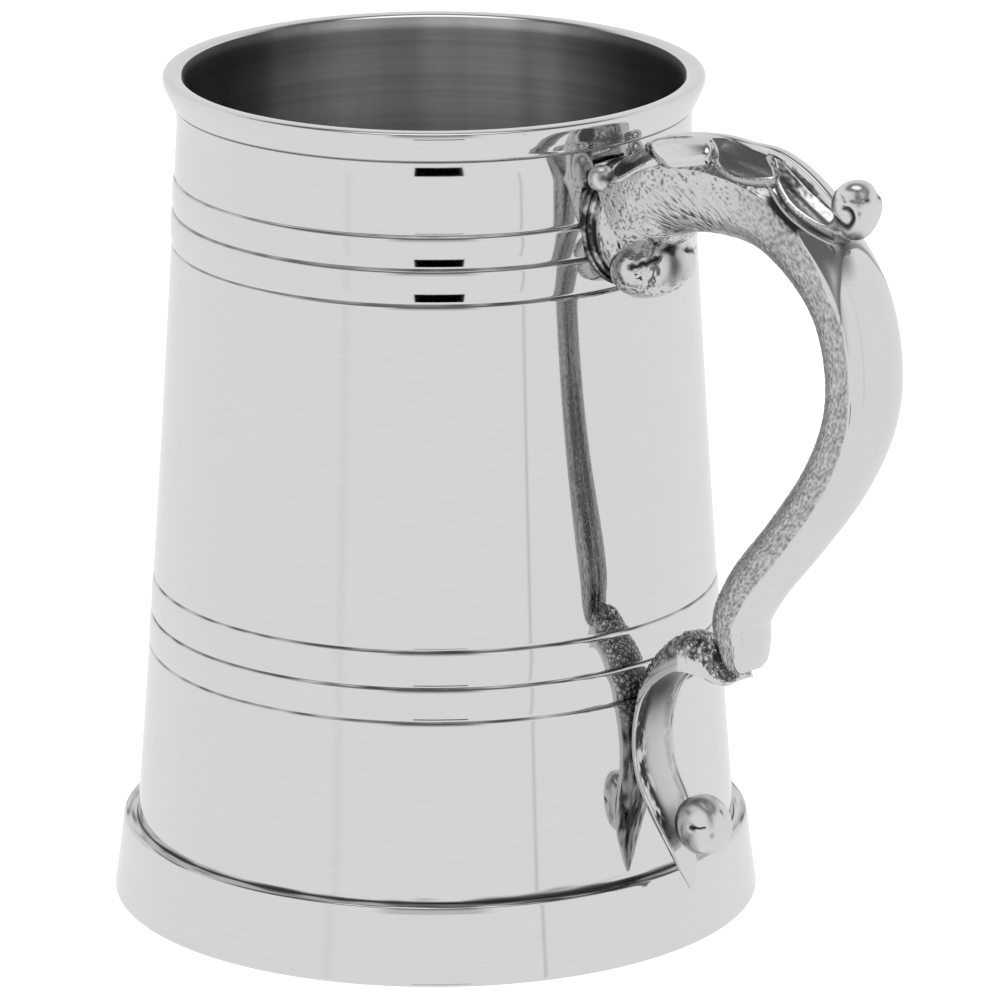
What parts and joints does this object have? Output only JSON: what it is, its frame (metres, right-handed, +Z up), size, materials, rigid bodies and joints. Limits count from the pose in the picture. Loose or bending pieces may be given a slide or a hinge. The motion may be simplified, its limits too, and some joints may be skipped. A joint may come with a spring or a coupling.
{
  "type": "pewter tankard",
  "caption": "Lidless one-pint pewter tankard: tapered spun drum with grooved bands, flared lip, foot skirt and cast scroll handle with a thumb curl.",
  "frame": {"origin": "the middle of the whole tankard's footprint box, handle included, on the table; the drum's axis stands at x = -0.0206", "axes": "+Z up along the drum's axis, +X towards the handle, +Y to the side; the handle's plane is y = 0"},
  "size_m": [0.1394, 0.098, 0.1272],
  "materials": {
    "pewter_polished": "polished",
    "pewter_spun": "satin",
    "pewter_cast": "satin"
  },
  "bodies": {
    "root": {"drum": "pewter_polished", "lip_ring": "pewter_polished", "foot_skirt": "pewter_polished", "base_disc": "pewter_spun", "handle_shell_left": "pewter_cast", "handle_shell_right": "pewter_cast", "thumb_leaf": "pewter_polished", "thumb_curl": "pewter_polished", "upper_volute": "pewter_polished", "joint_pad": "pewter_cast", "root_bead_left": "pewter_polished", "root_bead_right": "pewter_polished", "lower_scroll": "pewter_cast", "scroll_boss": "pewter_polished"}
  },
  "joints": []
}
